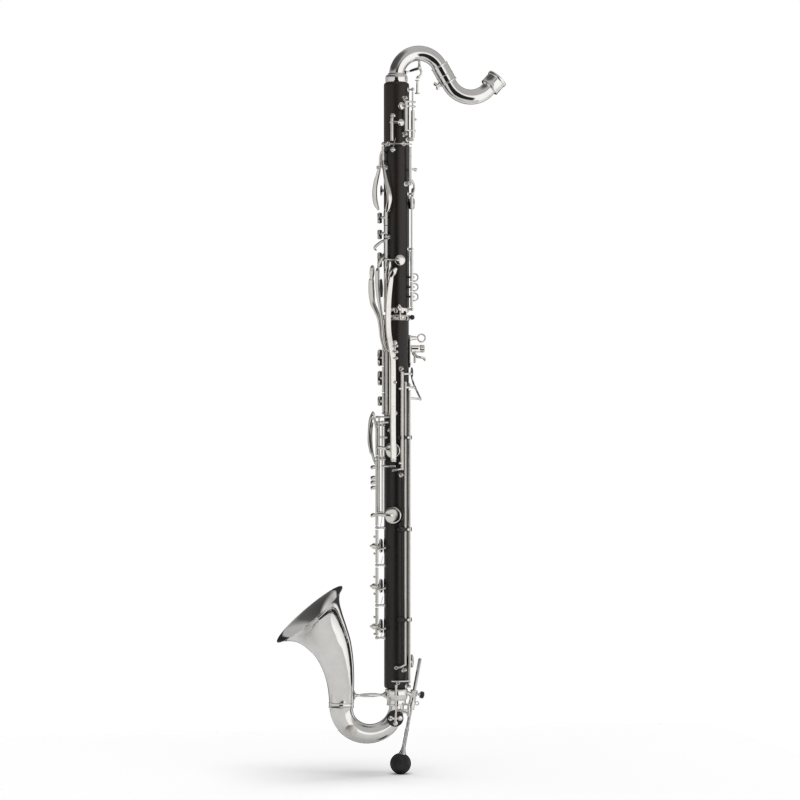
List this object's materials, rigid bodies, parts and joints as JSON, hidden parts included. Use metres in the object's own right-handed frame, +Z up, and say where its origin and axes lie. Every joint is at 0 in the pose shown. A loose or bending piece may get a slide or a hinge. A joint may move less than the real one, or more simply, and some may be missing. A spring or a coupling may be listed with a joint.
{
  "type": "bass clarinet",
  "caption": "Low-C bass clarinet without its mouthpiece: blackwood joints, silvered neck, keywork and upturned bell, and a floor peg.",
  "frame": {"origin": "centre of the strap ring on the thumb rest, where a neck strap holds the instrument", "axes": "+Z up along the body toward the neck, +X toward the player, -X to the front where the bell points, -Y to the player's left"},
  "size_m": [0.3276, 0.1222, 1.0339],
  "materials": {
    "blackwood": "oiled blackwood, satin",
    "silver_plate": "polished silver plate",
    "keywork_silver": "polished silver plate on forged keys",
    "steel": "turned steel",
    "rubber": "matte moulded rubber",
    "black_plastic": "black composite"
  },
  "bodies": {
    "instrument": {"upper_joint": "blackwood", "lower_joint": "blackwood", "neck_collar": "silver_plate", "register_frame": "keywork_silver", "throat_frame": "keywork_silver", "upper_front_frame": "keywork_silver", "upper_back_frame": "keywork_silver", "lower_left_frame": "keywork_silver", "low_front_frame": "keywork_silver", "rod_guide_1": "black_plastic", "rod_guide_2": "black_plastic", "rod_guide_3": "black_plastic", "joint_ring": "keywork_silver", "latch_bracket": "keywork_silver", "thumb_rest_plate": "keywork_silver", "bell_collar": "silver_plate", "bell_bow": "silver_plate", "bell": "silver_plate", "bell_brace": "silver_plate", "peg_receiver": "keywork_silver"},
    "neck": {"neck_crook": "silver_plate"},
    "mouth_section": {"tuning_sleeve": "silver_plate", "neck_mouth_bend": "silver_plate"},
    "floor_peg": {"floor_peg": "steel", "peg_ball": "rubber"},
    "thumb_rest_slider": {"thumb_rest_slider": "keywork_silver"},
    "latch_screw": {"latch_screw": "black_plastic"},
    "peg_screw": {"peg_screw": "black_plastic"},
    "neck_clamp_screw": {"neck_clamp_screw": "keywork_silver"},
    "neck_vent_key": {"neck_vent_key": "keywork_silver"},
    "register_link": {"register_link": "keywork_silver"},
    "upper_register_key": {"upper_register_key": "keywork_silver"},
    "lower_register_key": {"lower_register_key": "keywork_silver"},
    "register_lever": {"register_lever": "keywork_silver"},
    "throat_a_key": {"throat_a_key": "keywork_silver"},
    "throat_gsharp_key": {"throat_gsharp_key": "keywork_silver"},
    "finger_plateau_1": {"finger_plateau_1": "keywork_silver"},
    "finger_plateau_2": {"finger_plateau_2": "keywork_silver"},
    "finger_plateau_3": {"finger_plateau_3": "keywork_silver"},
    "fork_key": {"fork_key": "keywork_silver"},
    "thumb_plateau": {"thumb_plateau": "keywork_silver"},
    "side_key_1": {"side_key_1": "keywork_silver"},
    "side_key_2": {"side_key_2": "keywork_silver"},
    "side_key_3": {"side_key_3": "keywork_silver"},
    "finger_plateau_4": {"finger_plateau_4": "keywork_silver"},
    "finger_plateau_5": {"finger_plateau_5": "keywork_silver"},
    "finger_plateau_6": {"finger_plateau_6": "keywork_silver"},
    "left_lever_1": {"left_lever_1": "keywork_silver"},
    "left_lever_2": {"left_lever_2": "keywork_silver"},
    "long_bar_key": {"long_bar_key": "keywork_silver"},
    "right_paddle_1": {"right_paddle_1": "keywork_silver"},
    "right_paddle_2": {"right_paddle_2": "keywork_silver"},
    "low_e_flat_key": {"low_e_flat_key": "keywork_silver"},
    "low_d_key": {"low_d_key": "keywork_silver"},
    "low_c_key": {"low_c_key": "keywork_silver"},
    "thumb_lever_1": {"thumb_lever_1": "keywork_silver"},
    "thumb_lever_2": {"thumb_lever_2": "keywork_silver"},
    "thumb_lever_3": {"thumb_lever_3": "keywork_silver"},
    "thumb_rest_screw": {"thumb_rest_screw": "keywork_silver"},
    "bell_vent_key": {"bell_vent_key": "keywork_silver"}
  },
  "joints": [
    {"name": "neck_swivel", "type": "hinge", "parent": "instrument", "child": "neck", "pos_m": [-0.0363, 0, 0.3659], "axis": [0, 0, 1], "range_deg": [-8, 8]},
    {"name": "tuning_slide", "type": "slide", "parent": "neck", "child": "mouth_section", "axis": [0.5, 0, -0.866], "range_m": [0, 0.01]},
    {"name": "neck_clamp_turn", "type": "hinge", "parent": "mouth_section", "child": "neck_clamp_screw", "pos_m": [0.03728, 0, 0.36782], "axis": [-0.866, 0, -0.5], "continuous": true},
    {"name": "neck_vent_turn", "type": "hinge", "parent": "neck", "child": "neck_vent_key", "pos_m": [-0.0033, 0, 0.3839], "axis": [0, 1, 0], "range_deg": [-2, 0]},
    {"name": "register_link_slide", "type": "slide", "parent": "instrument", "child": "register_link", "axis": [0, 0, 1], "range_m": [0, 0.0015], "stiffness_N_per_m": 0.685, "springref_m": 0.02},
    {"name": "latch_screw_turn", "type": "hinge", "parent": "instrument", "child": "latch_screw", "pos_m": [-0.01904, -0.01667, 0.0289], "axis": [0.7193, -0.6947, 0], "continuous": true},
    {"name": "thumb_rest_slide", "type": "slide", "parent": "instrument", "child": "thumb_rest_slider", "axis": [0, 0, 1], "range_m": [-0.006, 0.003]},
    {"name": "thumb_rest_screw_turn", "type": "hinge", "parent": "thumb_rest_slider", "child": "thumb_rest_screw", "pos_m": [-0.0013, 0, -0.0151], "axis": [1, 0, 0], "continuous": true},
    {"name": "peg_slide", "type": "slide", "parent": "instrument", "child": "floor_peg", "axis": [0.1871, 0, 0.9823], "range_m": [-0.04, 0.04]},
    {"name": "peg_screw_turn", "type": "hinge", "parent": "instrument", "child": "peg_screw", "pos_m": [-0.00168, 0, -0.50716], "axis": [0.9823, 0, -0.1871], "continuous": true},
    {"name": "register_press", "type": "hinge", "parent": "instrument", "child": "register_lever", "pos_m": [-0.01977, -0.01712, 0.2409], "axis": [0, 0, 1], "range_deg": [0, 6], "stiffness_Nm_per_rad": 0.03, "springref_deg": -14.32},
    {"name": "upper_register_turn", "type": "hinge", "parent": "instrument", "child": "upper_register_key", "pos_m": [-0.02662, -0.02174, 0.3109], "axis": [0, 0, 1], "range_deg": [0, 9]},
    {"name": "lower_register_turn", "type": "hinge", "parent": "instrument", "child": "lower_register_key", "pos_m": [-0.04692, -0.0213, 0.2959], "axis": [0, 0, 1], "range_deg": [-9, 0]},
    {"name": "throat_a_press", "type": "hinge", "parent": "instrument", "child": "throat_a_key", "pos_m": [-0.05769, -0.01043, 0.2649], "axis": [0, 0, 1], "range_deg": [-5, 0], "stiffness_Nm_per_rad": 0.03, "springref_deg": 14.32},
    {"name": "throat_gsharp_press", "type": "hinge", "parent": "instrument", "child": "throat_gsharp_key", "pos_m": [-0.05769, -0.01043, 0.2519], "axis": [0, 0, 1], "range_deg": [0, 3], "stiffness_Nm_per_rad": 0.03, "springref_deg": -14.32},
    {"name": "plateau_1_press", "type": "hinge", "parent": "instrument", "child": "finger_plateau_1", "pos_m": [-0.05426, -0.01561, 0.1689], "axis": [0, 0, 1], "range_deg": [-6, 0], "stiffness_Nm_per_rad": 0.03, "springref_deg": 14.32},
    {"name": "plateau_2_press", "type": "hinge", "parent": "instrument", "child": "finger_plateau_2", "pos_m": [-0.05426, -0.01561, 0.1519], "axis": [0, 0, 1], "range_deg": [-6, 0], "stiffness_Nm_per_rad": 0.03, "springref_deg": 14.32},
    {"name": "plateau_3_press", "type": "hinge", "parent": "instrument", "child": "finger_plateau_3", "pos_m": [-0.05426, -0.01561, 0.1049], "axis": [0, 0, 1], "range_deg": [-6, 0], "stiffness_Nm_per_rad": 0.03, "springref_deg": 14.32},
    {"name": "fork_press", "type": "hinge", "parent": "instrument", "child": "fork_key", "pos_m": [-0.05426, -0.01561, 0.1259], "axis": [0, 0, 1], "range_deg": [-8, 0], "stiffness_Nm_per_rad": 0.03, "springref_deg": 14.32},
    {"name": "thumb_plateau_press", "type": "hinge", "parent": "instrument", "child": "thumb_plateau", "pos_m": [-0.01705, -0.01399, 0.1909], "axis": [0, 0, 1], "range_deg": [0, 5], "stiffness_Nm_per_rad": 0.03, "springref_deg": -14.32},
    {"name": "side_1_press", "type": "hinge", "parent": "instrument", "child": "side_key_1", "pos_m": [-0.01705, -0.01399, 0.1009], "axis": [0, 0, 1], "range_deg": [0, 5], "stiffness_Nm_per_rad": 0.03, "springref_deg": -14.32},
    {"name": "side_2_press", "type": "hinge", "parent": "instrument", "child": "side_key_2", "pos_m": [-0.01705, -0.01399, 0.0719], "axis": [0, 0, 1], "range_deg": [0, 5], "stiffness_Nm_per_rad": 0.03, "springref_deg": -14.32},
    {"name": "side_3_press", "type": "hinge", "parent": "instrument", "child": "side_key_3", "pos_m": [-0.01705, -0.01399, 0.0539], "axis": [0, 0, 1], "range_deg": [0, 5], "stiffness_Nm_per_rad": 0.03, "springref_deg": -14.32},
    {"name": "plateau_4_press", "type": "hinge", "parent": "instrument", "child": "finger_plateau_4", "pos_m": [-0.05731, -0.01117, -0.0291], "axis": [0, 0, 1], "range_deg": [-6, 0], "stiffness_Nm_per_rad": 0.03, "springref_deg": 14.32},
    {"name": "plateau_5_press", "type": "hinge", "parent": "instrument", "child": "finger_plateau_5", "pos_m": [-0.05731, -0.01117, -0.0591], "axis": [0, 0, 1], "range_deg": [-6, 0], "stiffness_Nm_per_rad": 0.03, "springref_deg": 14.32},
    {"name": "plateau_6_press", "type": "hinge", "parent": "instrument", "child": "finger_plateau_6", "pos_m": [-0.05731, -0.01117, -0.0901], "axis": [0, 0, 1], "range_deg": [-6, 0], "stiffness_Nm_per_rad": 0.03, "springref_deg": 14.32},
    {"name": "left_lever_1_press", "type": "hinge", "parent": "instrument", "child": "left_lever_1", "pos_m": [-0.05342, -0.01653, -0.0591], "axis": [0, 0, 1], "range_deg": [-4, 0], "stiffness_Nm_per_rad": 0.03, "springref_deg": 14.32},
    {"name": "left_lever_2_press", "type": "hinge", "parent": "instrument", "child": "left_lever_2", "pos_m": [-0.04891, -0.02018, -0.0591], "axis": [0, 0, 1], "range_deg": [-4, 0], "stiffness_Nm_per_rad": 0.03, "springref_deg": 14.32},
    {"name": "right_paddle_1_press", "type": "hinge", "parent": "instrument", "child": "right_paddle_1", "pos_m": [-0.06551, -0.00411, -0.1491], "axis": [0, 0, 1], "range_deg": [-6, 0], "stiffness_Nm_per_rad": 0.03, "springref_deg": 14.32},
    {"name": "right_paddle_2_press", "type": "hinge", "parent": "instrument", "child": "right_paddle_2", "pos_m": [-0.06551, -0.00411, -0.2191], "axis": [0, 0, 1], "range_deg": [-5, 0], "stiffness_Nm_per_rad": 0.03, "springref_deg": 14.32},
    {"name": "long_bar_turn", "type": "hinge", "parent": "instrument", "child": "long_bar_key", "pos_m": [-0.04365, -0.02263, -0.0591], "axis": [0, 0, 1], "range_deg": [-3, 0]},
    {"name": "low_e_flat_turn", "type": "hinge", "parent": "instrument", "child": "low_e_flat_key", "pos_m": [-0.06551, -0.00411, -0.2951], "axis": [0, 0, 1], "range_deg": [-8, 0]},
    {"name": "low_d_turn", "type": "hinge", "parent": "instrument", "child": "low_d_key", "pos_m": [-0.06551, -0.00411, -0.3521], "axis": [0, 0, 1], "range_deg": [-8, 0]},
    {"name": "low_c_turn", "type": "hinge", "parent": "instrument", "child": "low_c_key", "pos_m": [-0.06551, -0.00411, -0.4091], "axis": [0, 0, 1], "range_deg": [-8, 0]},
    {"name": "thumb_lever_1_press", "type": "hinge", "parent": "instrument", "child": "thumb_lever_1", "pos_m": [-0.03278, -0.02354, -0.0991], "axis": [0, 0, 1], "range_deg": [0, 4], "stiffness_Nm_per_rad": 0.03, "springref_deg": -14.32},
    {"name": "thumb_lever_2_press", "type": "hinge", "parent": "instrument", "child": "thumb_lever_2", "pos_m": [-0.02777, -0.02222, -0.2191], "axis": [0, 0, 1], "range_deg": [0, 4], "stiffness_Nm_per_rad": 0.03, "springref_deg": -14.32},
    {"name": "thumb_lever_3_press", "type": "hinge", "parent": "instrument", "child": "thumb_lever_3", "pos_m": [-0.021, -0.01823, -0.2191], "axis": [0, 0, 1], "range_deg": [0, 5], "stiffness_Nm_per_rad": 0.03, "springref_deg": -14.32},
    {"name": "bell_vent_turn", "type": "hinge", "parent": "instrument", "child": "bell_vent_key", "pos_m": [-0.02171, -0.01511, -0.5271], "axis": [0, 0, 1], "range_deg": [0, 8]}
  ],
  "couplings": [
    {"joint": "upper_register_turn", "follows": "register_press", "ratio": 1.5},
    {"joint": "lower_register_turn", "follows": "register_press", "ratio": -1.5},
    {"joint": "neck_vent_turn", "follows": "register_press", "ratio": -0.3333},
    {"joint": "register_link_slide", "follows": "register_press", "m_per_rad": 0.0143},
    {"joint": "long_bar_turn", "follows": "right_paddle_1_press", "ratio": 0.5},
    {"joint": "low_e_flat_turn", "follows": "left_lever_1_press", "ratio": 2},
    {"joint": "low_d_turn", "follows": "left_lever_2_press", "ratio": 2},
    {"joint": "low_c_turn", "follows": "thumb_lever_2_press", "ratio": -2},
    {"joint": "bell_vent_turn", "follows": "thumb_lever_3_press", "ratio": 1.6}
  ]
}
